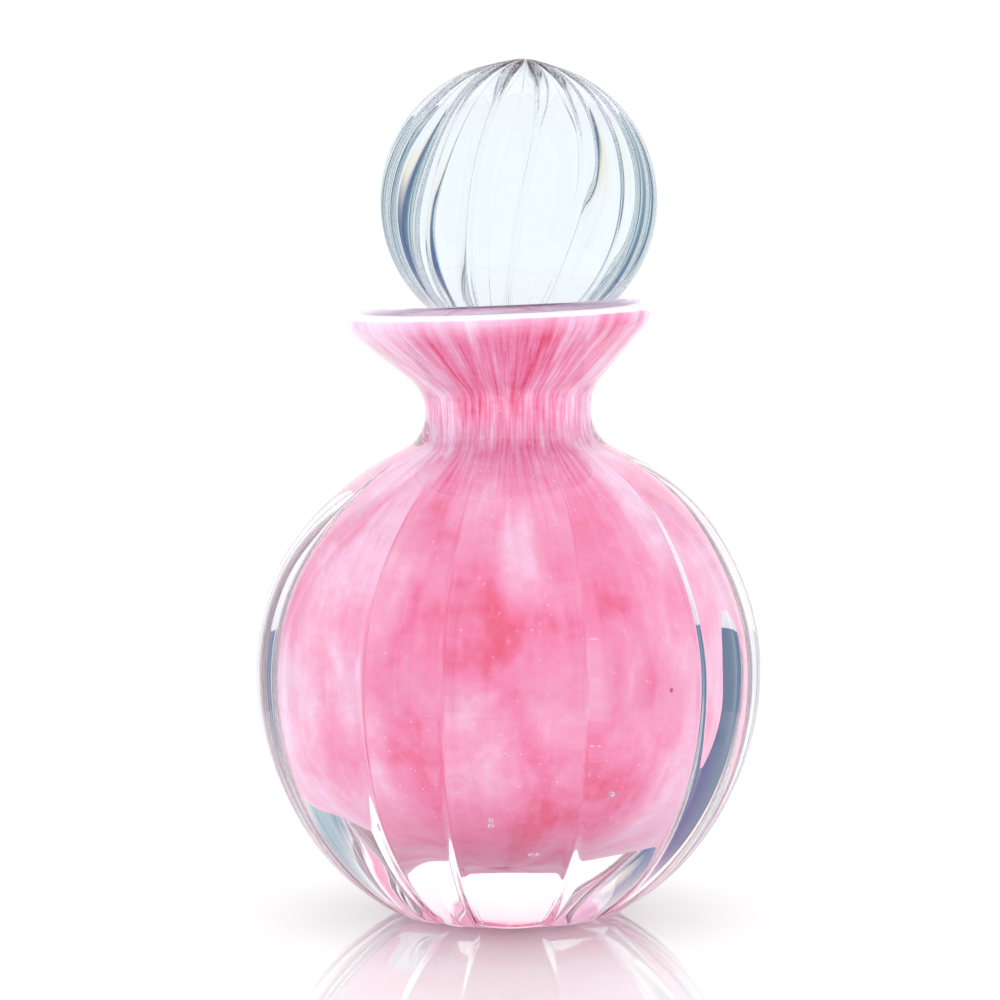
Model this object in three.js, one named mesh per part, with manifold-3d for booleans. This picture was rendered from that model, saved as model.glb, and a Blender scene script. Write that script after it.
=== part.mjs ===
// A hand-blown perfume bottle with a ribbed ball stopper, in millimetres, +Z up.
// The origin is the centre of the foot, on the surface the bottle stands on. The front faces -Y.
//
// The bottle is three fused layers of glass, each its own mesh: a clear inner gather round the
// hollow, a thin pink layer picked up on it, and a thick clear casing with moulded ribs.
// The stopper is one loose piece of glass, a ribbed ball on a short ground peg. It lifts out.

import * as THREE from "three";
import { mergeVertices } from "three/addons/utils/BufferGeometryUtils.js";
import Module from "manifold-3d";

// ---- Driving dimensions -------------------------------------------------------------------

const BODY_RADIUS = 38.2; // over the crests of the ribs
const BODY_WIDEST_Z = 37.4;
const BODY_RISE = 36.3; // half-height of the ellipse that the body follows above its widest point
const BODY_DROP = 41.2; // and below it
const FOOT_RADIUS = 13.3; // outer edge of the flat ring that the bottle stands on
const FOOT_BEVEL = 0.8;
const PONTIL_RADIUS = 8; // polished hollow in the middle of the foot
const PONTIL_DEPTH = 0.8;

const NECK_RADIUS = 12.45;
const NECK_Z = 76.3; // where the upright neck starts to flare
const SHOULDER_FILLET = 6;
const FLARE_FILLET = 6.5;
const FLARE_ANGLE = 46.5; // between the flared outer wall and the axis, in degrees
const RIM_RADIUS = 22.65;
const LIP_RADIUS = 2.4; // half the thickness of the rounded lip

const BODY_RIBS = 14;
const BODY_RIB_DEPTH = 0.6;
const BODY_CREASE_AT = 16.4; // one crease, in degrees from the front towards +X
const RIB_FULL_Z = 55; // above this the ribs fade out into the neck
const RIB_TOP_Z = 73;

const CAVITY_RADIUS = 19.5;
const CAVITY_Z = 37.4; // its widest point
const CAVITY_RISE = 26; // half-height of the ellipse that it follows above its widest point
const CAVITY_DROP = 18.8; // and of the fuller curve below it
const CAVITY_FULLNESS = 2.6; // 2 would be an ellipse
const BORE_RADIUS = 5.5; // as blown, before the seat is ground
const BORE_FILLET = 20; // between the round cavity and the bore
const MOUTH_FILLET = 6; // between the bore and the funnel of the mouth
const FUNNEL_ANGLE = 52; // between the wall of the funnel and the axis, in degrees

const GATHER_WALL = 2;
const PINK_WALL = 0.8;
const LAYER_GAP = 0.1; // between the layers, which are fused on the real bottle
const LAYER_END = 0.4; // how far inside the lip the inner layers stop

const RIM_SHIFT = -1.3; // the rim is a little off the axis of the body, along X
const RIM_TILT = 2.3; // and a little out of level, higher at +X, in degrees
const BEND_FROM_Z = 76;
const BEND_TO_Z = 91;
const SHOULDER_SHIFT = 0.7; // the shoulder stands out a little more on one side
const SHOULDER_Z = 65;
const SHOULDER_SPREAD = 8;

const STOPPER_LEAN = 3; // the seat was ground a little off the axis, towards +X, in degrees
const BALL_RADIUS = 20.9;
const BALL_CENTRE = 31; // heights on the stopper are from NECK_Z
const BALL_RIBS = 16;
const BALL_RIB_DEPTH = 0.5;
const BALL_CREASE_AT = 3;
const NIPPLE_HEIGHT = 0.4; // where the ribs gather at the top of the ball
const NIPPLE_RADIUS = 3;

const SHANK_RADIUS = 5.2; // the waist between the ball and the peg
const SHANK_BOTTOM = 7.6;
const TAPER_TOP = 4.8;
const TAPER_BOTTOM = -1.6;
const TAPER_TOP_RADIUS = 6.15;
const TAPER_RATIO = 0.05; // radius lost for each millimetre of length, a taper of 1 in 10
const SEAT_CLEARANCE = 0.1;
const PEG_CHAMFER = 0.5;
const GRIND_ABOVE = 3; // how far past the peg's taper the seat is ground
const GRIND_BELOW = 1;

// Facets: four across each body rib and three across each ball rib.
const BODY_FACETS = BODY_RIBS * 4;
const LAYER_FACETS = 28;
const BALL_FACETS = BALL_RIBS * 3;
const PEG_FACETS = 28;

// ---- Profiles: lists of (radius, height) --------------------------------------------------

const rad = THREE.MathUtils.degToRad;
const deg = THREE.MathUtils.radToDeg;
const point = (r, z) => new THREE.Vector2(r, z);

// Points on an arc. Angles are in degrees, anticlockwise from the direction of growing radius.
function arc(r, z, radius, from, to, steps) {
  return Array.from({ length: steps + 1 }, (_, i) => {
    const a = rad(from + ((to - from) * i) / steps);
    return point(r + radius * Math.cos(a), z + radius * Math.sin(a));
  });
}

// Points on an ellipse with its middle on the axis, from one parameter in radians to another.
function ellipse(z, radius, height, from, to, steps) {
  return Array.from({ length: steps + 1 }, (_, i) => {
    const t = from + ((to - from) * i) / steps;
    return point(radius * Math.cos(t), z + height * Math.sin(t));
  });
}

// Where a fillet joins an ellipse to the upright neck above it: the ellipse's parameter there,
// the slope of its normal in degrees, and the centre of the fillet.
function shoulder(z, radius, height, neckRadius, fillet) {
  let low = 0;
  let high = Math.PI / 2;
  let turn = 0;
  let slope = 0;
  for (let i = 0; i < 50; i++) {
    turn = (low + high) / 2;
    slope = Math.atan2(Math.sin(turn) / height, Math.cos(turn) / radius);
    const reach = radius * Math.cos(turn) + fillet * Math.cos(slope);
    if (reach > neckRadius + fillet) low = turn;
    else high = turn;
  }
  const centreZ = z + height * Math.sin(turn) + fillet * Math.sin(slope);
  return { turn, slope: deg(slope), centre: point(neckRadius + fillet, centreZ) };
}

// The centre of the rounded lip, at the end of the flared wall.
function lipCentre() {
  const a = rad(FLARE_ANGLE);
  const flareStart = point(
    NECK_RADIUS + FLARE_FILLET * (1 - Math.cos(a)),
    NECK_Z + FLARE_FILLET * Math.sin(a),
  );
  const r = RIM_RADIUS - LIP_RADIUS;
  const along = (r - flareStart.x + LIP_RADIUS * Math.cos(a)) / Math.sin(a);
  return point(r, flareStart.y + along * Math.cos(a) + LIP_RADIUS * Math.sin(a));
}

// The outside of the bottle, from the middle of the foot up and round the lip to its inner edge.
function outside() {
  const foot = -Math.asin((BODY_WIDEST_Z - FOOT_BEVEL) / BODY_DROP);
  const join = shoulder(BODY_WIDEST_Z, BODY_RADIUS, BODY_RISE, NECK_RADIUS, SHOULDER_FILLET);
  const flareR = NECK_RADIUS + FLARE_FILLET;
  const lip = lipCentre();
  return [
    point(0, PONTIL_DEPTH),
    point(PONTIL_RADIUS * 0.6, PONTIL_DEPTH * 0.6),
    point(PONTIL_RADIUS, 0),
    point(FOOT_RADIUS, 0),
    ...ellipse(BODY_WIDEST_Z, BODY_RADIUS, BODY_DROP, foot, 0, 9),
    ...ellipse(BODY_WIDEST_Z, BODY_RADIUS, BODY_RISE, 0, join.turn, 8).slice(1),
    ...arc(join.centre.x, join.centre.y, SHOULDER_FILLET, 180 + join.slope, 180, 3).slice(1),
    ...arc(flareR, NECK_Z, FLARE_FILLET, 180, 180 - FLARE_ANGLE, 3),
    ...arc(lip.x, lip.y, LIP_RADIUS, FLARE_ANGLE - 90, 180 - FUNNEL_ANGLE, 6),
  ];
}

// The wall of the hollow, from just inside the lip down the funnel and bore to its bottom.
function inside() {
  const a = rad(FUNNEL_ANGLE);
  const lip = lipCentre();
  const start = point(
    lip.x - LIP_RADIUS * Math.cos(a) - LAYER_END * Math.sin(a),
    lip.y + LIP_RADIUS * Math.sin(a) - LAYER_END * Math.cos(a),
  );
  const mouthR = BORE_RADIUS + MOUTH_FILLET;
  const funnelDrop = (start.x - mouthR + MOUTH_FILLET * Math.cos(a)) / Math.tan(a);
  const mouthZ = start.y - funnelDrop - MOUTH_FILLET * Math.sin(a);
  const join = shoulder(CAVITY_Z, CAVITY_RADIUS, CAVITY_RISE, BORE_RADIUS, BORE_FILLET);
  const bottom = ellipse(0, 1, 1, 0, -Math.PI / 2, 7).slice(1).map((p) => {
    const across = Math.max(p.x, 0) ** (2 / CAVITY_FULLNESS);
    const down = (-p.y) ** (2 / CAVITY_FULLNESS);
    return point(CAVITY_RADIUS * across, CAVITY_Z - CAVITY_DROP * down);
  });
  bottom.at(-1).x = 0;
  return [
    start,
    ...arc(mouthR, mouthZ, MOUTH_FILLET, 180 - FUNNEL_ANGLE, 180, 3),
    ...arc(join.centre.x, join.centre.y, BORE_FILLET, 180, 180 + join.slope, 4),
    ...ellipse(CAVITY_Z, CAVITY_RADIUS, CAVITY_RISE, join.turn, 0, 4).slice(1),
    ...bottom,
  ];
}

// The same wall moved out into the glass by a distance. Its last point stays on the axis.
function offset(wall, distance) {
  return wall.map((p, i) => {
    if (i === wall.length - 1) return point(0, p.y - distance);
    const before = wall[Math.max(i - 1, 0)];
    const along = wall[i + 1].clone().sub(before).normalize();
    return point(p.x - along.y * distance, p.y + along.x * distance);
  });
}

// ---- Solids -------------------------------------------------------------------------------

// A profile turned round the Z axis.
function turned(profile, facets) {
  return new THREE.LatheGeometry(profile, facets).rotateX(Math.PI / 2);
}

// Presses ribs into a turned surface: round crests, with a crease between each two.
// depthAt(radius, height) is the depth of a crease. creaseAt is in degrees from the front.
function ribbed(geometry, ribs, creaseAt, depthAt) {
  const place = geometry.getAttribute("position");
  const normal = geometry.getAttribute("normal");
  for (let i = 0; i < place.count; i++) {
    const x = place.getX(i);
    const y = place.getY(i);
    const z = place.getZ(i);
    const crease = 1 - Math.abs(Math.sin((ribs / 2) * Math.atan2(y, x)));
    const sink = crease * depthAt(Math.hypot(x, y), z);
    place.setXYZ(
      i,
      x - sink * normal.getX(i),
      y - sink * normal.getY(i),
      z - sink * normal.getZ(i),
    );
  }
  return geometry.rotateZ(rad(creaseAt - 90));
}

// The hand-made shape: the shoulder stands out to one side, and the mouth shifts and tilts a little.
function bent(geometry) {
  const place = geometry.getAttribute("position");
  for (let i = 0; i < place.count; i++) {
    const x = place.getX(i);
    const z = place.getZ(i);
    const share = THREE.MathUtils.smoothstep(z, BEND_FROM_Z, BEND_TO_Z);
    const bulge = Math.exp(-(((z - SHOULDER_Z) / SHOULDER_SPREAD) ** 2));
    place.setX(i, x + share * RIM_SHIFT + bulge * SHOULDER_SHIFT);
    place.setZ(i, z + share * x * Math.tan(rad(RIM_TILT)));
  }
  return geometry;
}

const wasm = await Module();
wasm.setup();

// A closed geometry as a manifold-3d solid.
function solid(geometry) {
  const bare = geometry.clone();
  bare.deleteAttribute("normal");
  bare.deleteAttribute("uv");
  const merged = mergeVertices(bare, 1e-4);
  return new wasm.Manifold(new wasm.Mesh({
    numProp: 3,
    vertProperties: merged.getAttribute("position").array,
    triVerts: new Uint32Array(merged.index.array),
  }));
}

// A manifold-3d solid as a geometry.
function surface(body) {
  const mesh = body.getMesh();
  const geometry = new THREE.BufferGeometry();
  geometry.setAttribute("position", new THREE.BufferAttribute(mesh.vertProperties, 3));
  geometry.setIndex(new THREE.BufferAttribute(mesh.triVerts, 1));
  return geometry;
}

// ---- Materials ----------------------------------------------------------------------------

function glass(color, roughness) {
  return new THREE.MeshStandardMaterial({ color, roughness, metalness: 0 });
}

const CLEAR = glass(0xe6eff3, 0.04);
const PINK = glass(0xee86ab, 0.25);
const GROUND = glass(0xdfe6ea, 0.6);

function piece(name, geometry, material) {
  const mesh = new THREE.Mesh(geometry, material);
  mesh.name = name;
  return mesh;
}

// ---- The bottle ---------------------------------------------------------------------------

const hollow = inside();
const layersEnd = GATHER_WALL + PINK_WALL + LAYER_GAP; // where the casing takes over

// The ribs start outside the foot and fade out into the neck. The inner wall has none.
function bodyRibDepth(r, z) {
  if (Math.hypot(r, z - CAVITY_Z) < (CAVITY_RADIUS + layersEnd + BODY_RADIUS) / 2) return 0;
  const fromFoot = THREE.MathUtils.smoothstep(r, FOOT_RADIUS, FOOT_RADIUS + 7);
  const toNeck = 1 - THREE.MathUtils.smoothstep(z, RIB_FULL_Z, RIB_TOP_Z);
  return BODY_RIB_DEPTH * fromFoot * toNeck;
}

// Inside the lip the casing's wall steps out behind the ends of the two inner layers.
function clearCasing() {
  const wall = offset(hollow, layersEnd);
  const a = rad(FUNNEL_ANGLE);
  const ledge = point(LAYER_GAP * Math.sin(a), LAYER_GAP * Math.cos(a));
  wall[0].add(ledge);
  const profile = [...outside(), hollow[0].clone().add(ledge), ...wall];
  const shaped = ribbed(turned(profile, BODY_FACETS), BODY_RIBS, BODY_CREASE_AT, bodyRibDepth);
  return piece("clear_casing", bent(shaped), CLEAR);
}

// A layer of glass between two offsets of the hollow's wall.
function layer(from, to) {
  const profile = [...offset(hollow, to).reverse(), ...offset(hollow, from)];
  return bent(turned(profile, LAYER_FACETS));
}

function pinkLayer() {
  return piece("pink_layer", layer(GATHER_WALL, GATHER_WALL + PINK_WALL), PINK);
}

// The tool that grinds the seat: the peg's taper, grown by the clearance.
function grinder() {
  const low = TAPER_BOTTOM - GRIND_BELOW;
  const high = TAPER_TOP + GRIND_ABOVE;
  return turned([
    point(0, low),
    point(taperRadius(low) + SEAT_CLEARANCE, low),
    point(taperRadius(high) + SEAT_CLEARANCE, high),
    point(0, high),
  ], PEG_FACETS);
}

function taperRadius(z) {
  return TAPER_TOP_RADIUS - TAPER_RATIO * (TAPER_TOP - z);
}

const stopper = new THREE.Group();
stopper.position.z = NECK_Z;
stopper.rotation.y = rad(STOPPER_LEAN);
stopper.updateMatrix();

function innerGather() {
  const blown = solid(layer(0, GATHER_WALL - LAYER_GAP));
  const seat = solid(grinder().applyMatrix4(stopper.matrix));
  return piece("inner_gather", surface(blown.subtract(seat)), CLEAR);
}

const bottle = new THREE.Group();
bottle.add(clearCasing(), pinkLayer(), innerGather());

// ---- The stopper --------------------------------------------------------------------------

// The ball's ribs fade out at the shank and run together at the nipple on top.
function stopperBall() {
  const shankAngle = -deg(Math.acos(SHANK_RADIUS / BALL_RADIUS));
  const nipple = (p) => {
    const bump = NIPPLE_HEIGHT * Math.exp(-((p.x / NIPPLE_RADIUS) ** 2));
    return point(p.x, p.y > BALL_CENTRE ? p.y + bump : p.y);
  };
  const profile = [
    point(0, SHANK_BOTTOM),
    point(SHANK_RADIUS, SHANK_BOTTOM),
    ...arc(0, BALL_CENTRE, BALL_RADIUS, shankAngle, 86, 14).map(nipple),
    point(0, BALL_CENTRE + BALL_RADIUS + NIPPLE_HEIGHT),
  ];
  const equatorward = BALL_RADIUS * Math.sin(rad(shankAngle)) + BALL_CENTRE;
  const shaped = ribbed(turned(profile, BALL_FACETS), BALL_RIBS, BALL_CREASE_AT, (r, z) =>
    BALL_RIB_DEPTH
      * THREE.MathUtils.smoothstep(z, equatorward, equatorward + 6)
      * THREE.MathUtils.smoothstep(r, 0, 5));
  return piece("stopper_ball", shaped, CLEAR);
}

function stopperPeg() {
  const profile = [
    point(0, TAPER_BOTTOM),
    point(taperRadius(TAPER_BOTTOM) - PEG_CHAMFER, TAPER_BOTTOM),
    point(taperRadius(TAPER_BOTTOM), TAPER_BOTTOM + PEG_CHAMFER),
    point(TAPER_TOP_RADIUS, TAPER_TOP),
    point(TAPER_TOP_RADIUS - PEG_CHAMFER, TAPER_TOP + PEG_CHAMFER),
    point(SHANK_RADIUS, TAPER_TOP + 3 * PEG_CHAMFER),
    point(SHANK_RADIUS, SHANK_BOTTOM - LAYER_GAP),
    point(0, SHANK_BOTTOM - LAYER_GAP),
  ];
  return piece("stopper_peg", turned(profile, PEG_FACETS), GROUND);
}

stopper.add(stopperBall(), stopperPeg());

const perfumeBottle = new THREE.Group();
perfumeBottle.add(bottle, stopper);

export default perfumeBottle;
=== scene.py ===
"""The looks of a hand-blown perfume bottle with a ribbed ball stopper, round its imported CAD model.

Metres, +Z up, the bottle's front faces -Y. The clear casing and the inner gather are one body of
glass here, as they are on the real bottle, and the pink layer lies inside it.
"""

import math

import bpy
import numpy as np
from mathutils import Matrix, Vector

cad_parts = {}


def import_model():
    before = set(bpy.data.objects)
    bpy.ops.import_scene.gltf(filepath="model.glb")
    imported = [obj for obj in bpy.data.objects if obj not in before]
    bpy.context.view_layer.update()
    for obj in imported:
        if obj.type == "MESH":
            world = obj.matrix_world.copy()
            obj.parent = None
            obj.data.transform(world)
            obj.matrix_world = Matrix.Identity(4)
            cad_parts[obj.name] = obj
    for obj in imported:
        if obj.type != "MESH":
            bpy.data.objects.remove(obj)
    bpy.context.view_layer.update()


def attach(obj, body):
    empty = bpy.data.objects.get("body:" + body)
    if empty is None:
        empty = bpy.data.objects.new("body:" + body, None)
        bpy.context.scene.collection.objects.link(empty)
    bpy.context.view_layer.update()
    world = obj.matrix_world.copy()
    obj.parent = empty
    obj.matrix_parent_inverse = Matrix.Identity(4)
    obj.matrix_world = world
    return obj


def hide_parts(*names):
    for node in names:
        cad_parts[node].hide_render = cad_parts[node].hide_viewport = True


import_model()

MM = 0.001
WHITE = (1.0, 1.0, 1.0, 1.0)

# ---- Driving dimensions, the same as the CAD model's, in millimetres and degrees ---------------

BODY_RADIUS = 38.2
BODY_WIDEST_Z = 37.4
BODY_RISE = 36.3
BODY_DROP = 41.2
FOOT_RADIUS = 13.3
FOOT_BEVEL = 0.8
PONTIL_RADIUS = 8.0
PONTIL_DEPTH = 0.8
PONTIL_BEND_AT = 0.6  # share of the hollow's radius at which its slope changes
PONTIL_BEND_DEPTH = 0.75  # share of its depth there

NECK_RADIUS = 12.45
NECK_Z = 76.3
SHOULDER_FILLET = 6.0
FLARE_FILLET = 6.5
FLARE_ANGLE = 46.5
RIM_RADIUS = 22.65
LIP_RADIUS = 2.4

CAVITY_RADIUS = 19.5
CAVITY_Z = 37.4
CAVITY_RISE = 26.0
CAVITY_DROP = 18.8
CAVITY_FULLNESS = 2.6
BORE_RADIUS = 5.5
BORE_FILLET = 20.0
MOUTH_FILLET = 6.0
FUNNEL_ANGLE = 52.0

GATHER_WALL = 2.0
PINK_WALL = 0.8
LAYER_END = 0.4
SEAT_CLEARANCE = 0.1

RIM_SHIFT = -1.3
RIM_TILT = 2.3
BEND_FROM_Z = 76.0
BEND_TO_Z = 91.0
SHOULDER_SHIFT = 0.7
SHOULDER_Z = 65.0
SHOULDER_SPREAD = 8.0

STOPPER_LEAN = 3.0
BALL_RADIUS = 20.9
BALL_CENTRE = 31.0
NIPPLE_HEIGHT = 0.4
NIPPLE_RADIUS = 3.0
SHANK_RADIUS = 5.2
TAPER_TOP = 4.8
TAPER_BOTTOM = -1.6
TAPER_TOP_RADIUS = 6.15
TAPER_RATIO = 0.05
PEG_CHAMFER = 0.5

# ---- Ribs, creases, bubbles and the seat, finer than the CAD model's ---------------------------

BODY_RIBS = 14
BODY_COLUMNS_PER_RIB = 26
BODY_RIB_DEPTH = 0.45
BODY_RIB_UNEVEN = 0.25
BODY_GROOVE_DEPTH = 0.25
BODY_GROOVE_WIDTH = 1.1  # degrees
BODY_CREASE_AT = 16.4  # degrees round from the front
BODY_CREASE_SHIFTS = (1.0, 5.4, 3.0, 0, 0, 0, 0, 0, 0, 0, 0, -3.0, 1.3, -5.0)  # degrees
RIB_FADE_ROUND_FOOT = 7.0
RIB_FULL_Z = 55.0
RIB_TOP_Z = 73.0

BALL_RIBS = 16
BALL_COLUMNS_PER_RIB = 22
BALL_RIB_DEPTH = 0.6
BALL_RIB_UNEVEN = 0.3
BALL_GROOVE_DEPTH = 0.15
BALL_GROOVE_WIDTH = 0.9  # degrees
BALL_CREASE_AT = 3.0  # degrees round from the front
BALL_RIB_FADE_ABOVE_SHANK = 6.0
BALL_RIB_FADE_ROUND_TIP = 5.0
BALL_TWIST = 0.12  # radians from the middle to the top

CREASE_CROWDING = 0.8  # how closely columns crowd towards a crease, from 0 to 1
PINK_COLUMNS = 168
PINK_PAST_END = 1.2  # how much nearer to the lip the colour reaches than the CAD layer does

SEAT_PAST = 1.0  # how far the ground seat goes past the taper, above and below
SEAT_ROWS = 40
SEAT_BLEND_ABOVE = 3.0
SEAT_ROW_GAP = 0.2  # the least distance between its rows and the rest of the wall's
SEAT_LEANS_FROM_Z = 70.0
SEAT_LEANS_TO_RADIUS = 6.6  # the wall leans with the seat up to here
SEAT_STRAIGHT_FROM_RADIUS = 9.0  # and doesn't from here on

BUBBLE_ROWS = 7
BUBBLE_COLUMNS = 12
BUBBLES = (  # trapped in the casing: x, y, z, half its width and half its height
    (-2.0, -24.0, 20.0, 0.42, 0.36),
    (-2.0, -24.4, 19.2, 0.46, 0.36),
    (13.7, -23.4, 23.2, 0.50, 0.44),
    (3.3, -22.0, 15.2, 0.80, 0.34),
    (-0.3, -27.5, 29.2, 0.30, 0.30),
    (-17.0, 22.0, 20.0, 0.50, 0.40),
    (9.0, 27.0, 28.0, 0.45, 0.40),
    (27.0, 12.0, 22.0, 0.50, 0.42),
)

# ---- Glass -------------------------------------------------------------------------------------

GLASS_IOR = 1.5
BOTTLE_TINT = (0.98, 0.965, 0.985)
# The stopper's tint is the glass's own faint cyan, deepened as painted shade for the dark surroundings
# seen through the ball.
STOPPER_TINT_AND_SHADE = (0.77, 0.84, 0.885)
GROUND_TINT = (0.92, 0.94, 0.95)
GROUND_ROUGHNESS = 0.35
BOTTLE_RIPPLE = 90.0  # ripples to a metre
STOPPER_RIPPLE = 45.0
GROUND_RIPPLE = 1500.0

PINK_RAMP = (  # from the palest streaks to the deepest
    (0.00, (0.93, 0.78, 0.90)),
    (0.25, (0.90, 0.56, 0.76)),
    (0.50, (0.88, 0.36, 0.54)),
    (0.75, (0.85, 0.23, 0.42)),
    (1.00, (0.78, 0.10, 0.20)),
)
PINK_TOP_Z = 92.0
PINK_BY_HEIGHT = (  # share of the height up to the lip, and how deep the pink is there
    (0.14, (0.78,) * 3),
    (0.30, (0.72,) * 3),
    (0.36, (0.64,) * 3),
    (0.46, (0.75,) * 3),
    (0.56, (0.77,) * 3),
    (0.66, (0.61,) * 3),
    (0.80, (0.59,) * 3),
    (1.00, (0.60,) * 3),
)
PINK_SHADE_BY_HEIGHT = (  # painted light and shade: what the base colour is scaled by, because less light reaches the ends
    (0.20, (1.00,) * 3),
    (0.28, (0.82,) * 3),
    (0.38, (0.68,) * 3),
    (0.60, (0.64,) * 3),
    (0.76, (0.81,) * 3),
    (0.84, (0.90,) * 3),
    (1.00, (0.88,) * 3),
)
PINK_CLOUDS = 0.6  # how much each pattern changes the depth of the pink, from its least to its most
PINK_STREAKS = 1.7
PINK_BANDS = 0.95
PINK_GRAIN = 0.34
STREAKS_IN_BODY = 0.12  # share of the neck's streaks that the body has
STREAKS_FROM_Z = 52.0
STREAKS_FULL_Z = 74.0
# Painted sheen: the pink's left and right sides are painted paler, where light pales them.
SIDE_MIDDLE = 0.08  # share of the radius
SIDE_SHEEN_FROM = 0.60
SIDE_SHEEN_TO = 0.95
SIDE_PAINTED_SHEEN = 0.30
LIP_PALES_FROM = 18.5
LIP_PALES_TO = 22.5
LIP_FROM_Z = 80.0
LIP_TO_Z = 86.0
LIP_PALENESS = 0.65
LIP_RAGGEDNESS = 1.5
# Painted light: the pink inside the mouth is paler on the faces that face up.
FUNNEL_PAINTED_LIGHT = 0.7
PATCH_X = 1.6
PATCH_Z = 52.0
PATCH_HALF_WIDTH = 3.2
PATCH_HALF_HEIGHT = 6.5
PATCH_PALENESS = 0.30
SEED_COLOUR = (0.95, 0.80, 0.90, 1.0)
SPECK_COLOUR = (0.40, 0.02, 0.05, 1.0)

# ---- Light -------------------------------------------------------------------------------------

SOFT_LIGHT = 3.0  # on soft surfaces
BAND_LIGHT = 1.15  # through glass
SEEN_LIGHT = 1.02  # the backdrop as the camera sees it
REFLECTION_FADE = 0.45  # how much paler the bands are where they are only reflected
FLOOR_WHITE = 0.42
FLOOR_RADIUS = 0.17  # metres
FLOOR_SIDES = 96
FLOOR_DROP = 0.05  # millimetres below the foot
BAND_STOPS = (  # share of the way from the backdrop to the side, and colour
    (0.34, (1.0, 1.0, 1.0)),
    (0.39, (0.97, 0.86, 0.70)),
    (0.43, (0.03, 0.08, 0.26)),
    (0.49, (0.06, 0.16, 0.24)),
    (0.55, (0.22, 0.38, 0.46)),
    (0.59, (0.88, 0.95, 0.98)),
    (0.62, (0.03, 0.06, 0.12)),
    (0.68, (0.10, 0.24, 0.30)),
    (0.74, (0.45, 0.62, 0.68)),
    (0.82, (0.80, 0.90, 0.93)),
    (0.90, (1.0, 1.0, 1.0)),
)
BAND_FADES_FROM = 0.5  # height of the direction, from 0 at the horizon to 1 straight up
BAND_FADES_TO = 1.0

# ---- The camera, in millimetres ----------------------------------------------------------------

VIEW_DISTANCE = 534.0
VIEW_HEIGHT = 101.8
VIEW_PITCH = 4.2  # degrees down
VIEW_WIDTH = 150.0  # width of the view at the bottle's axis
VIEW_SIDE = -1.1  # the view's centre, to the left of the axis
SENSOR = 36.0

# ---- Profiles: arrays of (radius, height) ------------------------------------------------------


def arc(r, z, radius, start, stop, steps):
    """Points on an arc, with angles in degrees, anticlockwise from the direction of growing radius."""
    a = np.radians(np.linspace(start, stop, steps + 1))
    return np.column_stack([r + radius * np.cos(a), z + radius * np.sin(a)])


def line(start, stop, steps):
    """Points on a straight line, without its last."""
    share = np.linspace(0, 1, steps, endpoint=False)[:, None]
    return (1 - share) * np.array(start) + share * np.array(stop)


def lip_centre():
    """The radius and height of the middle of the lip's rounding."""
    a = math.radians(FLARE_ANGLE)
    flare_r = NECK_RADIUS + FLARE_FILLET * (1 - math.cos(a))
    flare_z = NECK_Z + FLARE_FILLET * math.sin(a)
    r = RIM_RADIUS - LIP_RADIUS
    along = (r - flare_r + LIP_RADIUS * math.cos(a)) / math.sin(a)
    return r, flare_z + along * math.cos(a) + LIP_RADIUS * math.sin(a)


def ellipse(z, radius, height, start, stop, steps):
    """Points on an ellipse with its middle on the axis, from one parameter in radians to another."""
    t = np.linspace(start, stop, steps + 1)
    return np.column_stack([radius * np.cos(t), z + height * np.sin(t)])


def shoulder(z, radius, height, neck_radius, fillet):
    """Where a fillet joins an ellipse below to an upright neck.

    Gives the ellipse's parameter there, the slope of its normal in degrees, and the fillet's middle.
    """
    low, high = 0.0, math.pi / 2
    for _ in range(50):
        t = (low + high) / 2
        slope = math.atan2(math.sin(t) / height, math.cos(t) / radius)
        if radius * math.cos(t) + fillet * math.cos(slope) > neck_radius + fillet:
            low = t
        else:
            high = t
    middle_z = z + height * math.sin(t) + fillet * math.sin(slope)
    return t, math.degrees(slope), (neck_radius + fillet, middle_z)


def outside():
    """The outside of the bottle, from the middle of the foot up and round the lip."""
    foot = -math.asin((BODY_WIDEST_Z - FOOT_BEVEL) / BODY_DROP)
    turn, slope, middle = shoulder(BODY_WIDEST_Z, BODY_RADIUS, BODY_RISE, NECK_RADIUS, SHOULDER_FILLET)
    lip_r, lip_z = lip_centre()
    pontil_bend = (PONTIL_RADIUS * PONTIL_BEND_AT, PONTIL_DEPTH * PONTIL_BEND_DEPTH)
    lower = ellipse(BODY_WIDEST_Z, BODY_RADIUS, BODY_DROP, foot, 0, 56)
    upper = ellipse(BODY_WIDEST_Z, BODY_RADIUS, BODY_RISE, 0, turn, 52)
    flare = arc(NECK_RADIUS + FLARE_FILLET, NECK_Z, FLARE_FILLET, 180, 180 - FLARE_ANGLE, 14)
    lip = arc(lip_r, lip_z, LIP_RADIUS, FLARE_ANGLE - 90, 180 - FUNNEL_ANGLE, 26)
    return np.vstack([
        line((0, PONTIL_DEPTH), pontil_bend, 4),
        line(pontil_bend, (PONTIL_RADIUS, 0), 4),
        line((PONTIL_RADIUS, 0), (FOOT_RADIUS, 0), 5),
        line((FOOT_RADIUS, 0), lower[0], 3),
        lower[:-1],
        upper,
        arc(*middle, SHOULDER_FILLET, 180 + slope, 180, 14)[1:],
        flare,
        line(flare[-1], lip[0], 8)[1:],
        lip,
    ])


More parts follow.
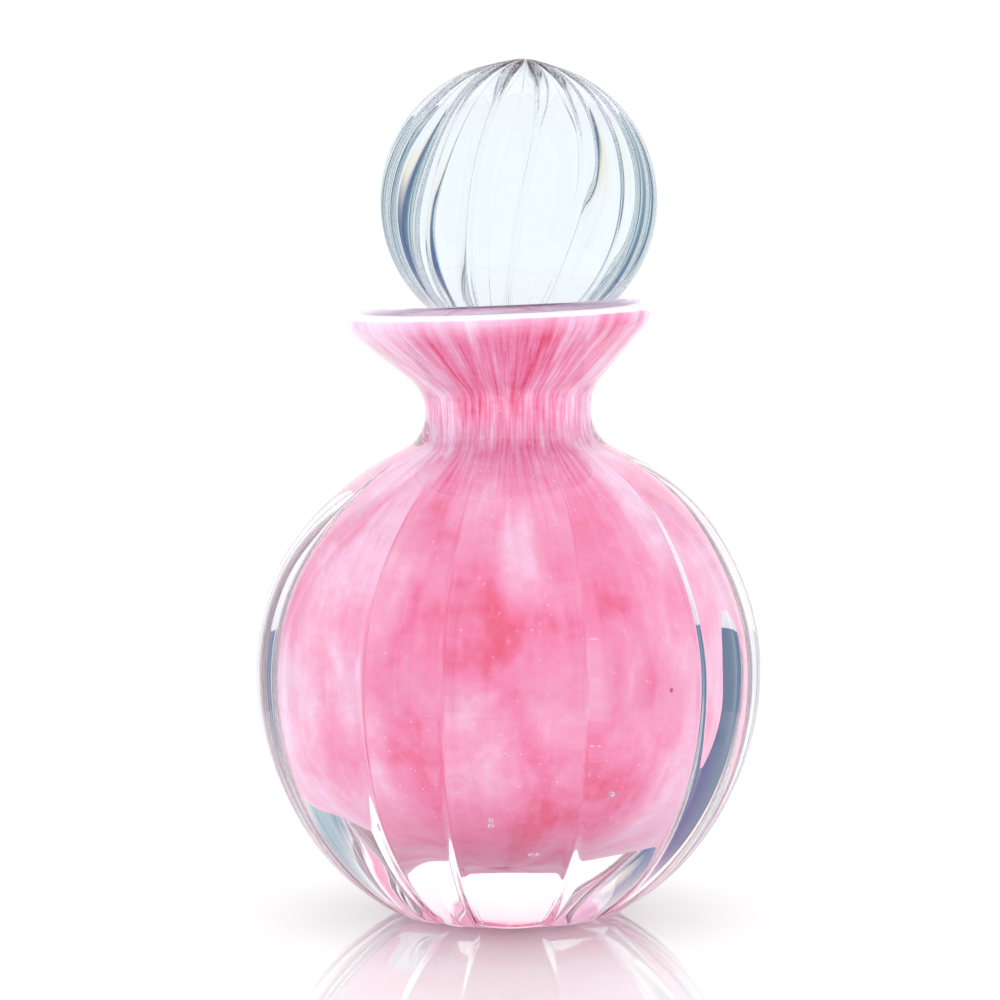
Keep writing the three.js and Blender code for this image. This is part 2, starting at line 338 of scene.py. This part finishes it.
def inside():
    """The wall of the hollow, from just inside the lip down to the middle of its bottom."""
    a = math.radians(FUNNEL_ANGLE)
    lip_r, lip_z = lip_centre()
    start_r = lip_r - LIP_RADIUS * math.cos(a) - LAYER_END * math.sin(a)
    start_z = lip_z + LIP_RADIUS * math.sin(a) - LAYER_END * math.cos(a)
    mouth_r = BORE_RADIUS + MOUTH_FILLET
    drop = (start_r - mouth_r + MOUTH_FILLET * math.cos(a)) / math.tan(a)
    mouth_z = start_z - drop - MOUTH_FILLET * math.sin(a)
    turn, slope, middle = shoulder(CAVITY_Z, CAVITY_RADIUS, CAVITY_RISE, BORE_RADIUS, BORE_FILLET)
    mouth = arc(mouth_r, mouth_z, MOUTH_FILLET, 180 - FUNNEL_ANGLE, 180, 14)
    fillet = arc(*middle, BORE_FILLET, 180, 180 + slope, 20)
    t = np.linspace(0, math.pi / 2, 37)
    power = 2 / CAVITY_FULLNESS
    bottom = np.column_stack([
        CAVITY_RADIUS * np.cos(t) ** power,
        CAVITY_Z - CAVITY_DROP * np.sin(t) ** power])
    bottom[-1, 0] = 0
    return np.vstack([
        line((start_r, start_z), mouth[0], 10),
        mouth[:-1],
        line(mouth[-1], fillet[0], 12),
        fillet,
        ellipse(CAVITY_Z, CAVITY_RADIUS, CAVITY_RISE, turn, 0, 26)[1:],
        bottom[1:],
    ])


def offset(wall, distance):
    """The same wall moved out into the glass. Its last point stays on the axis."""
    along = np.gradient(wall, axis=0)
    along /= np.linalg.norm(along, axis=1)[:, None]
    moved = wall + distance * np.column_stack([-along[:, 1], along[:, 0]])
    moved[-1] = (0, wall[-1, 1] - distance)
    return moved


def smoothstep(x, low, high):
    """0 where x is low, 1 where it is high, and smooth between."""
    t = np.clip((x - low) / (high - low), 0, 1)
    return t * t * (3 - 2 * t)


# ---- Meshes ------------------------------------------------------------------------------------


def turned(name, profile, columns, sink=None, swirl=None, place=None, closed=False, bubbles=()):
    """Turns a profile round +Z into an object.

    columns are the angles of its columns. sink(r, z, angle) is how far a point is pressed in along its
    normal, swirl(z, angle) how far it is turned about the axis, and place(points) moves all of them.
    A profile that isn't closed starts and ends on the axis, where its rings shrink to one point.
    """
    if closed:
        along = np.roll(profile, -1, 0) - np.roll(profile, 1, 0)
    else:
        along = np.gradient(profile, axis=0)
    along /= np.linalg.norm(along, axis=1)[:, None]
    r, z = profile[:, :1], profile[:, 1:]
    normal_r, normal_z = along[:, 1:], -along[:, :1]
    pressed = sink(r, z, columns[None]) if sink else np.zeros((len(profile), len(columns)))
    turn = columns[None] + (swirl(z, columns[None]) if swirl else 0)
    reach = r - pressed * normal_r
    points = np.stack([reach * np.cos(turn), reach * np.sin(turn), z - pressed * normal_z], -1)
    if not closed:
        ends = points[[0, -1]].mean(1)
        points = points[1:-1]
    count = len(points)
    grid = np.arange(count * len(columns)).reshape(count, -1)
    above = np.roll(grid, -1, 0)
    if not closed:
        grid, above = grid[:-1], above[:-1]
    faces = np.stack([grid, np.roll(grid, -1, 1), np.roll(above, -1, 1), above], -1).reshape(-1, 4)
    faces = faces.tolist()
    verts = points.reshape(-1, 3)
    if not closed:
        first, last = len(verts), len(verts) + 1
        bottom = np.arange(len(columns))
        top = bottom + (count - 1) * len(columns)
        faces += [[first, b, a] for a, b in zip(bottom.tolist(), np.roll(bottom, -1).tolist())]
        faces += [[last, a, b] for a, b in zip(top.tolist(), np.roll(top, -1).tolist())]
        verts = np.vstack([verts, ends])
    if place:
        verts = place(verts)
    if bubbles:
        verts, faces = with_bubbles(verts, faces, bubbles)
    return mesh_object(name, verts * MM, faces)


def even_columns(count):
    """Angles spaced evenly round a circle."""
    return np.arange(count) * 2 * math.pi / count


def rib_columns(ribs, per_rib, crease_at, crowding):
    """Columns that crowd together towards the creases, one of which is at crease_at degrees."""
    share = np.arange(ribs * per_rib) / per_rib
    share = share - crowding * np.sin(2 * math.pi * share) / (2 * math.pi)
    return share * 2 * math.pi / ribs + math.radians(crease_at - 90)


def mesh_object(name, verts, faces):
    """A smooth-shaded object in the scene, from points in metres."""
    mesh = bpy.data.meshes.new(name)
    mesh.from_pydata(np.asarray(verts).tolist(), [], faces)
    mesh.shade_smooth()
    mesh.validate()
    made = bpy.data.objects.new(name, mesh)
    bpy.context.scene.collection.objects.link(made)
    return made


def with_bubbles(verts, faces, bubbles):
    """Adds small hollows, in millimetres, to a body of glass, with their faces turned inwards."""
    rows, around = BUBBLE_ROWS, BUBBLE_COLUMNS
    verts, faces = [verts], list(faces)
    start = len(verts[0])
    for x, y, z, width, height in bubbles:
        rise = np.linspace(-math.pi / 2, math.pi / 2, rows + 2)[1:-1, None]
        turn = even_columns(around)[None]
        ring = np.stack([
            x + width * np.cos(rise) * np.cos(turn),
            y + width * np.cos(rise) * np.sin(turn),
            z + height * np.sin(rise) + 0 * turn], -1).reshape(-1, 3)
        verts.append(np.vstack([ring, [[x, y, z - height], [x, y, z + height]]]))
        bottom, top = start + rows * around, start + rows * around + 1
        for i in range(around):
            j = (i + 1) % around
            for row in range(rows - 1):
                a, b = start + row * around + i, start + row * around + j
                faces.append([a, a + around, b + around, b])
            last = start + (rows - 1) * around
            faces.append([bottom, start + i, start + j])
            faces.append([top, last + j, last + i])
        start += len(verts[-1])
    return np.vstack(verts), faces


def rib_sink(angle, ribs, crease_at, lobe_depth, groove_depth, groove_width):
    """How deep a ribbed surface lies: round lobes, with a fine groove in the crease between two.

    groove_width is in degrees.
    """
    across = ribs / 2 * (angle - math.radians(crease_at - 90))
    from_crease = np.abs(np.sin(across))
    narrow = ribs / 2 * math.radians(groove_width)
    return lobe_depth * (1 - from_crease) + groove_depth * np.exp(-(from_crease / narrow) ** 2)


# ---- Shapes of the glass -----------------------------------------------------------------------


def bent(points):
    """The hand-made shape: the shoulder bulges to one side, and the mouth shifts and tilts a little."""
    x, z = points[..., 0], points[..., 2]
    share = smoothstep(z, BEND_FROM_Z, BEND_TO_Z)
    bulge = np.exp(-((z - SHOULDER_Z) / SHOULDER_SPREAD) ** 2)
    moved = points.copy()
    moved[..., 0] += share * RIM_SHIFT + bulge * SHOULDER_SHIFT
    moved[..., 2] += share * x * math.tan(math.radians(RIM_TILT))
    return moved


def body_sink(r, z, angle):
    """The ribs on the outside of the bottle, each a little deeper or shallower than the next."""
    middle = (CAVITY_RADIUS + GATHER_WALL + PINK_WALL + BODY_RADIUS) / 2
    outer = np.hypot(r, z - CAVITY_Z) > middle
    above_foot = smoothstep(r, FOOT_RADIUS, FOOT_RADIUS + RIB_FADE_ROUND_FOOT)
    below_neck = 1 - smoothstep(z, RIB_FULL_Z, RIB_TOP_Z)
    uneven = 1 + BODY_RIB_UNEVEN * np.sin(3 * angle + 1.2)
    lobes = rib_sink(
        angle, BODY_RIBS, BODY_CREASE_AT, BODY_RIB_DEPTH, BODY_GROOVE_DEPTH, BODY_GROOVE_WIDTH)
    return np.where(outer, above_foot * below_neck * uneven * lobes, 0)


def body_swirl(z, angle):
    """The creases aren't evenly spaced, because the ribs were pressed in by hand."""
    creases = np.radians(BODY_CREASE_AT - 90) + np.arange(BODY_RIBS) * 2 * math.pi / BODY_RIBS
    return np.interp(angle, creases, np.radians(BODY_CREASE_SHIFTS), period=2 * math.pi)


def leaning(points):
    """Points of the stopper moved from its own axis to where it stands in the neck."""
    m = np.array(stopper_matrix())
    return points @ m[:3, :3].T + m[:3, 3]


def stopper_matrix():
    """From the stopper's own axis, with its zero at the neck, to where it stands. In millimetres."""
    return Matrix.Translation((0, 0, NECK_Z)) @ Matrix.Rotation(math.radians(STOPPER_LEAN), 4, "Y")


def ball_bottom():
    """The height at which the ball meets the shank, above the stopper's own zero."""
    return BALL_CENTRE - math.sqrt(BALL_RADIUS ** 2 - SHANK_RADIUS ** 2)


def ball_sink(r, z, angle):
    """The ribs on the ball, which fade out at the shank and at the tip."""
    above_shank = smoothstep(z, ball_bottom(), ball_bottom() + BALL_RIB_FADE_ABOVE_SHANK)
    off_tip = smoothstep(r, 0, BALL_RIB_FADE_ROUND_TIP)
    uneven = 1 + BALL_RIB_UNEVEN * np.sin(3 * angle + 0.5)
    lobes = rib_sink(
        angle, BALL_RIBS, BALL_CREASE_AT, BALL_RIB_DEPTH, BALL_GROOVE_DEPTH, BALL_GROOVE_WIDTH)
    return above_shank * off_tip * uneven * lobes


def ball_swirl(z, angle):
    """The ribs of the ball twist and wander, because it was turned while it was soft."""
    height = (z - BALL_CENTRE) / BALL_RADIUS
    wander = 0.03 * np.sin(2 * angle + 0.4) + 0.02 * np.sin(5 * angle + 3 * height)
    return BALL_TWIST * height + wander


def seated(points):
    """Like bent, but the ground seat inside the neck follows the stopper's lean instead."""
    x, z = points[..., 0], points[..., 2]
    r = np.hypot(x, points[..., 1])
    near_axis = 1 - smoothstep(r, SEAT_LEANS_TO_RADIUS, SEAT_STRAIGHT_FROM_RADIUS)
    share = near_axis * smoothstep(z, SEAT_LEANS_FROM_Z, NECK_Z + TAPER_BOTTOM - SEAT_PAST)
    moved = bent(points)
    leaned = x + (z - NECK_Z) * math.tan(math.radians(STOPPER_LEAN))
    moved[..., 0] += share * (leaned - moved[..., 0])
    return moved


def ground_seat(wall):
    """The wall of the hollow, with the stopper's seat ground into it and more rows of points there."""
    low, high = NECK_Z + TAPER_BOTTOM - SEAT_PAST, NECK_Z + TAPER_TOP + SEAT_PAST
    heights = np.linspace(high + SEAT_BLEND_ABOVE, low - 0.01, SEAT_ROWS)
    order = np.argsort(wall[:, 1])
    radii = np.interp(heights, wall[order, 1], wall[order, 0])
    seat = taper_radius(heights - NECK_Z) + SEAT_CLEARANCE
    radii = np.where(heights > low, np.maximum(radii, seat), radii)
    return np.vstack([
        wall[wall[:, 1] > high + SEAT_BLEND_ABOVE + SEAT_ROW_GAP],
        np.column_stack([radii, heights]),
        wall[wall[:, 1] < low - SEAT_ROW_GAP]])


def taper_radius(z):
    """The radius of the stopper's taper at a height above its own zero."""
    return TAPER_TOP_RADIUS - TAPER_RATIO * (TAPER_TOP - z)


def bottle_glass():
    """The casing and the inner gather as one body of glass, with the ground seat and the bubbles."""
    outer, wall = outside(), inside()
    profile = np.vstack([outer, line(outer[-1], wall[0], 3)[1:], ground_seat(wall)])
    columns = rib_columns(BODY_RIBS, BODY_COLUMNS_PER_RIB, BODY_CREASE_AT, CREASE_CROWDING)
    glass = turned("bottle_glass", profile, columns, body_sink, body_swirl, seated, bubbles=BUBBLES)
    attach(glass, "bottle")
    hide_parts("clear_casing", "inner_gather")
    glass.data.materials.append(clear_glass("bottle_clear_glass", BOTTLE_TINT, BOTTLE_RIPPLE))


def pink_layer():
    """The thin layer of pink between the casing and the inner gather."""
    wall = inside()
    a = math.radians(FUNNEL_ANGLE)
    wall = np.vstack([wall[0] + PINK_PAST_END * np.array([math.sin(a), math.cos(a)]), wall])
    outer = offset(wall, GATHER_WALL + PINK_WALL)
    inner = offset(wall, GATHER_WALL)
    profile = np.vstack([outer[::-1], inner])
    layer = turned("pink_colour", profile, even_columns(PINK_COLUMNS), place=bent, closed=True)
    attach(layer, "bottle")
    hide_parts("pink_layer")
    layer.data.materials.append(pink_glass())


def stopper_profile():
    """The peg from the middle of its end up, the shank and the ball, about the stopper's own axis."""
    shank_angle = -math.degrees(math.acos(SHANK_RADIUS / BALL_RADIUS))
    ball = arc(0, BALL_CENTRE, BALL_RADIUS, shank_angle, 90, 120)
    ball[-1, 0] = 0
    top = ball[:, 1] > BALL_CENTRE
    ball[:, 1] += np.where(top, NIPPLE_HEIGHT * np.exp(-(ball[:, 0] / NIPPLE_RADIUS) ** 2), 0)
    end_r = taper_radius(TAPER_BOTTOM)
    chamfer = (end_r - PEG_CHAMFER, TAPER_BOTTOM)
    taper = (end_r, TAPER_BOTTOM + PEG_CHAMFER)
    waist = (SHANK_RADIUS, TAPER_TOP + 3 * PEG_CHAMFER)
    return np.vstack([
        line((0, TAPER_BOTTOM), chamfer, 5),
        line(chamfer, taper, 3),
        line(taper, (TAPER_TOP_RADIUS, TAPER_TOP), 14),
        line((TAPER_TOP_RADIUS, TAPER_TOP), waist, 5),
        line(waist, (SHANK_RADIUS, ball_bottom()), 5),
        ball,
    ])


def stopper_glass():
    """The ball and the peg as one body of glass, clear all over but for the ground taper."""
    columns = rib_columns(BALL_RIBS, BALL_COLUMNS_PER_RIB, BALL_CREASE_AT, CREASE_CROWDING)
    glass = turned("stopper_glass", stopper_profile(), columns, ball_sink, ball_swirl, leaning)
    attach(glass, "stopper")
    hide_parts("stopper_ball", "stopper_peg")
    # The ball's tint carries painted shade as well as the glass's own colour.
    glass.data.materials.append(clear_glass("stopper_clear_glass", STOPPER_TINT_AND_SHADE, STOPPER_RIPPLE))
    glass.data.materials.append(
        clear_glass("stopper_ground_glass", GROUND_TINT, GROUND_RIPPLE, GROUND_ROUGHNESS))
    to_axis = stopper_matrix().inverted()
    for face in glass.data.polygons:
        height = (to_axis @ (face.center / MM)).z
        face.material_index = int(TAPER_BOTTOM + PEG_CHAMFER < height < TAPER_TOP)


# ---- Materials ---------------------------------------------------------------------------------


class Tree:
    """The node tree of a material or a world, with short ways to do sums in it."""

    def __init__(self, owner):
        owner.use_nodes = True
        self.nodes = owner.node_tree.nodes
        self.links = owner.node_tree.links

    def put(self, socket, value):
        """Links a socket to another node's output, or sets it to a constant."""
        if isinstance(value, bpy.types.NodeSocket):
            self.links.new(value, socket)
        else:
            socket.default_value = value

    def coordinate(self, kind):
        """A texture coordinate of that kind, such as Object."""
        return self.nodes.new("ShaderNodeTexCoord").outputs[kind]

    def split(self, vector):
        node = self.nodes.new("ShaderNodeSeparateXYZ")
        self.links.new(vector, node.inputs["Vector"])
        return node.outputs["X"], node.outputs["Y"], node.outputs["Z"]

    def combine(self, x, y, z):
        node = self.nodes.new("ShaderNodeCombineXYZ")
        for socket, value in zip(node.inputs, (x, y, z)):
            self.put(socket, value)
        return node.outputs["Vector"]

    def math(self, operation, *values, clamp=False):
        node = self.nodes.new("ShaderNodeMath")
        node.operation = operation
        node.use_clamp = clamp
        for socket, value in zip(node.inputs, values):
            self.put(socket, value)
        return node.outputs["Value"]

    def times(self, first, second):
        return self.math("MULTIPLY", first, second)

    def minus(self, first, second):
        return self.math("SUBTRACT", first, second)

    def swing(self, noise, amount):
        """A noise from 0 to 1 made to swing to both sides of 0."""
        return self.times(self.minus(noise, 0.5), amount)

    def length(self, x, y):
        return self.math("SQRT", self.math("ADD", self.times(x, x), self.times(y, y)))

    def step(self, value, low, high):
        """0 where value is low, 1 where it is high, and smooth between."""
        node = self.nodes.new("ShaderNodeMapRange")
        node.interpolation_type = "SMOOTHSTEP"
        self.put(node.inputs["Value"], value)
        self.put(node.inputs["From Min"], low)
        self.put(node.inputs["From Max"], high)
        return node.outputs["Result"]

    def noise(self, vector, scale, detail=2.0, roughness=0.5, distortion=0.0):
        node = self.nodes.new("ShaderNodeTexNoise")
        self.links.new(vector, node.inputs["Vector"])
        node.inputs["Scale"].default_value = scale
        node.inputs["Detail"].default_value = detail
        node.inputs["Roughness"].default_value = roughness
        node.inputs["Distortion"].default_value = distortion
        return node.outputs["Fac"]

    def specks(self, vector, scale, radius, share):
        """1 inside small round specks, each in its own cell, in a share of the cells."""
        cells = self.nodes.new("ShaderNodeTexVoronoi")
        self.links.new(vector, cells.inputs["Vector"])
        cells.inputs["Scale"].default_value = scale
        parts = self.nodes.new("ShaderNodeSeparateColor")
        self.links.new(cells.outputs["Color"], parts.inputs["Color"])
        chosen = self.math("LESS_THAN", parts.outputs["Red"], share)
        near = self.minus(1.0, self.step(cells.outputs["Distance"], radius * 0.6, radius))
        return self.times(chosen, near)

    def ramp(self, value, stops):
        """A colour for each value, from stops of a position and a colour."""
        node = self.nodes.new("ShaderNodeValToRGB")
        self.put(node.inputs["Fac"], value)
        marks = node.color_ramp.elements
        marks[0].position, marks[-1].position = stops[0][0], stops[-1][0]
        marks[0].color, marks[-1].color = (*stops[0][1], 1), (*stops[-1][1], 1)
        for position, colour in stops[1:-1]:
            marks.new(position).color = (*colour, 1)
        return node.outputs["Color"]

    def mix(self, share, first, second):
        """A blend of two colours, from the first to the second."""
        node = self.nodes.new("ShaderNodeMix")
        node.data_type = "RGBA"
        factor, colour_a, colour_b = node.inputs[0], node.inputs[6], node.inputs[7]
        self.put(factor, share)
        self.put(colour_a, first)
        self.put(colour_b, second)
        return node.outputs[2]


class Shader(Tree):
    """A new material with the sockets of its Principled BSDF."""

    def __init__(self, name):
        self.material = bpy.data.materials.new(name)
        super().__init__(self.material)
        self.surface = self.nodes["Principled BSDF"]

    def set(self, **values):
        """Sets constants on the surface's sockets: base_color stands for Base Color."""
        names = {socket.name.lower().replace(" ", "_"): socket for socket in self.surface.inputs}
        for name, value in values.items():
            names[name].default_value = value

    def position(self):
        """The object's own x, y and z in millimetres."""
        scale = self.nodes.new("ShaderNodeVectorMath")
        scale.operation = "SCALE"
        scale.inputs["Scale"].default_value = 1 / MM
        self.links.new(self.coordinate("Object"), scale.inputs[0])
        return self.split(scale.outputs["Vector"])

    def bump(self, height, distance, strength):
        node = self.nodes.new("ShaderNodeBump")
        node.inputs["Strength"].default_value = strength
        node.inputs["Distance"].default_value = distance
        self.links.new(height, node.inputs["Height"])
        self.links.new(node.outputs["Normal"], self.surface.inputs["Normal"])


def clear_glass(name, tint, ripple, roughness=0.0):
    """Clear glass with a faint ripple from the hand of the maker, or fine grinding if it is rough."""
    shader = Shader(name)
    shader.set(base_color=(*tint, 1), roughness=roughness, ior=GLASS_IOR, transmission_weight=1.0)
    shader.bump(shader.noise(shader.coordinate("Object"), ripple, detail=1.0), 0.0005, 0.05)
    return shader.material


def pale_patch(shader, x, y, z, plain):
    """How much paler the pink is in the cloudy patch high on the front."""
    wide = shader.math("DIVIDE", shader.minus(x, PATCH_X), PATCH_HALF_WIDTH)
    high = shader.math("DIVIDE", shader.minus(z, PATCH_Z), PATCH_HALF_HEIGHT)
    ragged = shader.noise(plain, 0.10, 2.0, 0.5, 0.3)
    away = shader.math("ADD", shader.length(wide, high), ragged)
    in_patch = shader.minus(1.0, shader.step(away, 0.9, 1.7))
    in_front = shader.step(shader.times(y, -1.0), 2.0, 8.0)
    return shader.times(shader.times(in_patch, in_front), PATCH_PALENESS)


def funnel_painted_light(shader, z):
    """Painted light: how much paler the pink is on the side of the mouth that faces in and up, which
    lies in shade inside the funnel.
    """
    _, _, up = shader.split(shader.coordinate("Normal"))
    facing_up = shader.step(up, 0.0, 0.4)
    return shader.times(shader.times(facing_up, shader.step(z, LIP_FROM_Z, LIP_TO_Z)), FUNNEL_PAINTED_LIGHT)


def pink_depth(shader, x, y, z, plain, grain):
    """How deep the pink is, from 0 for the palest streaks to 1."""
    r = shader.math("MAXIMUM", shader.length(x, y), 0.01)
    across, deep = shader.math("DIVIDE", x, r), shader.math("DIVIDE", y, r)
    stretched = shader.combine(across, deep, shader.times(z, 0.005))
    fine = shader.noise(stretched, 19.0, 5.0, 0.6, 0.2)
    broad = shader.noise(shader.combine(across, deep, shader.times(z, 0.035)), 2.6, 2.0, 0.5, 0.6)
    cloud = shader.noise(plain, 0.085, 4.0, 0.58, 0.4)

    in_neck = shader.math("ADD", STREAKS_IN_BODY, shader.step(z, STREAKS_FROM_Z, STREAKS_FULL_Z))
    streaks = shader.times(shader.swing(fine, PINK_STREAKS), in_neck)
    depth = shader.ramp(shader.math("DIVIDE", z, PINK_TOP_Z), PINK_BY_HEIGHT)
    patterns = (
        shader.swing(cloud, PINK_CLOUDS),
        streaks,
        shader.swing(broad, PINK_BANDS),
        shader.swing(grain, PINK_GRAIN))
    for pattern in patterns:
        depth = shader.math("ADD", depth, pattern)

    # Painted sheen: paler pink towards the left and right sides.
    off_middle = shader.math("ABSOLUTE", shader.minus(across, SIDE_MIDDLE))
    side = shader.step(off_middle, SIDE_SHEEN_FROM, SIDE_SHEEN_TO)
    depth = shader.minus(depth, shader.times(side, SIDE_PAINTED_SHEEN))
    ragged_r = shader.math("ADD", r, shader.times(streaks, LIP_RAGGEDNESS))
    lip = shader.step(ragged_r, LIP_PALES_FROM, LIP_PALES_TO)
    lip = shader.times(lip, shader.step(z, LIP_FROM_Z, LIP_TO_Z))
    depth = shader.times(depth, shader.minus(1.0, shader.times(lip, LIP_PALENESS)))
    depth = shader.minus(depth, pale_patch(shader, x, y, z, plain))
    # Painted light on the upward faces inside the mouth.
    depth = shader.minus(depth, funnel_painted_light(shader, z))
    return shader.math("MAXIMUM", depth, 0.0, clamp=True)


def pink_glass():
    """Cloudy pink glass: soft clouds, fine upright streaks in the neck, a pale lip, seeds and specks,
    and painted light, shade and sheen.
    """
    shader = Shader("cloudy_pink_glass")
    x, y, z = shader.position()
    plain = shader.combine(x, y, z)
    grain = shader.noise(plain, 0.7, 4.0, 0.65)
    colour = shader.ramp(pink_depth(shader, x, y, z, plain, grain), PINK_RAMP)
    seeds = shader.specks(plain, 0.9, 0.13, 0.6)
    colour = shader.mix(shader.times(seeds, 0.45), colour, SEED_COLOUR)
    specks = shader.specks(plain, 0.16, 0.055, 0.10)
    colour = shader.mix(shader.times(specks, 0.85), colour, SPECK_COLOUR)
    # Painted light and shade: the base colour is scaled down in the middle of the body and kept full at
    # the ends.
    shade = shader.nodes.new("ShaderNodeVectorMath")
    shade.operation = "MULTIPLY"
    shader.put(shade.inputs[0], colour)
    shader.put(shade.inputs[1], shader.ramp(shader.math("DIVIDE", z, PINK_TOP_Z), PINK_SHADE_BY_HEIGHT))
    shader.put(shader.surface.inputs["Base Color"], shade.outputs["Vector"])
    shader.set(
        roughness=0.5,
        specular_ior_level=0.0,
        sheen_weight=0.35,
        sheen_roughness=0.4,
        sheen_tint=(1.0, 0.93, 0.98, 1))
    shader.bump(grain, 0.0002, 0.3)
    return shader.material


# ---- Stage -------------------------------------------------------------------------------------


def floor():
    """A round white table top with a gloss, its edge lost against the white backdrop."""
    around = even_columns(FLOOR_SIDES)
    rim = np.column_stack([np.cos(around), np.sin(around), 0 * around]) * FLOOR_RADIUS
    disc = mesh_object("floor", rim, [list(range(FLOOR_SIDES))])
    disc.location.z = -FLOOR_DROP * MM
    shader = Shader("white_gloss_floor")
    shader.set(base_color=(FLOOR_WHITE,) * 3 + (1,), roughness=0.03, ior=2.0)
    disc.data.materials.append(shader.material)


def background(tree, colour, strength):
    node = tree.nodes.new("ShaderNodeBackground")
    tree.put(node.inputs["Color"], colour)
    node.inputs["Strength"].default_value = strength
    return node.outputs["Background"]


def either(tree, share, first, second):
    """The first background where share is 0 and the second where it is 1."""
    node = tree.nodes.new("ShaderNodeMixShader")
    tree.put(node.inputs[0], share)
    tree.put(node.inputs[1], first)
    tree.put(node.inputs[2], second)
    return node.outputs["Shader"]


def world():
    """White all round for the eye and for soft surfaces, with darker bands to draw the edges of glass.

    The bands stand upright half way between the backdrop and each side, so a sphere of glass shows them
    close to its outline. Their borders are tinted, as dispersion tints them in real glass.
    """
    made = bpy.data.worlds.new("light_tent")
    bpy.context.scene.world = made
    made.cycles.sampling_method = "NONE"
    tree = Tree(made)
    tree.nodes.clear()
    x, y, z = tree.split(tree.coordinate("Generated"))
    from_backdrop = tree.math("ARCTAN2", tree.math("ABSOLUTE", x), tree.math("ABSOLUTE", y))
    bands = tree.ramp(tree.math("DIVIDE", from_backdrop, math.pi / 2), BAND_STOPS)
    bands = tree.mix(tree.step(z, BAND_FADES_FROM, BAND_FADES_TO), bands, WHITE)

    path = tree.nodes.new("ShaderNodeLightPath")
    outside_glass = tree.math("LESS_THAN", path.outputs["Transmission Depth"], 0.5)
    fade = tree.times(outside_glass, REFLECTION_FADE)
    fade = tree.math("MAXIMUM", path.outputs["Is Camera Ray"], fade)
    after_diffuse = tree.math("GREATER_THAN", path.outputs["Diffuse Depth"], 0.5)
    clear = either(tree, fade, background(tree, bands, BAND_LIGHT), background(tree, WHITE, SEEN_LIGHT))
    whole = either(tree, after_diffuse, clear, background(tree, WHITE, SOFT_LIGHT))
    out = tree.nodes.new("ShaderNodeOutputWorld")
    tree.links.new(whole, out.inputs["Surface"])


def camera():
    """The camera, in front of the bottle and about level with the ball, looking slightly down."""
    data = bpy.data.cameras.new("camera")
    data.sensor_width = SENSOR
    data.lens = SENSOR * VIEW_DISTANCE / VIEW_WIDTH
    data.clip_start = 0.01
    made = bpy.data.objects.new("camera", data)
    bpy.context.scene.collection.objects.link(made)
    made.location = Vector((VIEW_SIDE, -VIEW_DISTANCE, VIEW_HEIGHT)) * MM
    made.rotation_euler = (math.radians(90 - VIEW_PITCH), 0, 0)
    bpy.context.scene.camera = made


def look():
    """Plain colours, and enough bounces for light to get through two thick bodies of glass."""
    scene = bpy.context.scene
    scene.view_settings.view_transform = "Standard"
    scene.cycles.max_bounces = 24
    scene.cycles.transmission_bounces = 24
    scene.cycles.glossy_bounces = 8


camera()
look()
world()
floor()
bottle_glass()
pink_layer()
stopper_glass()
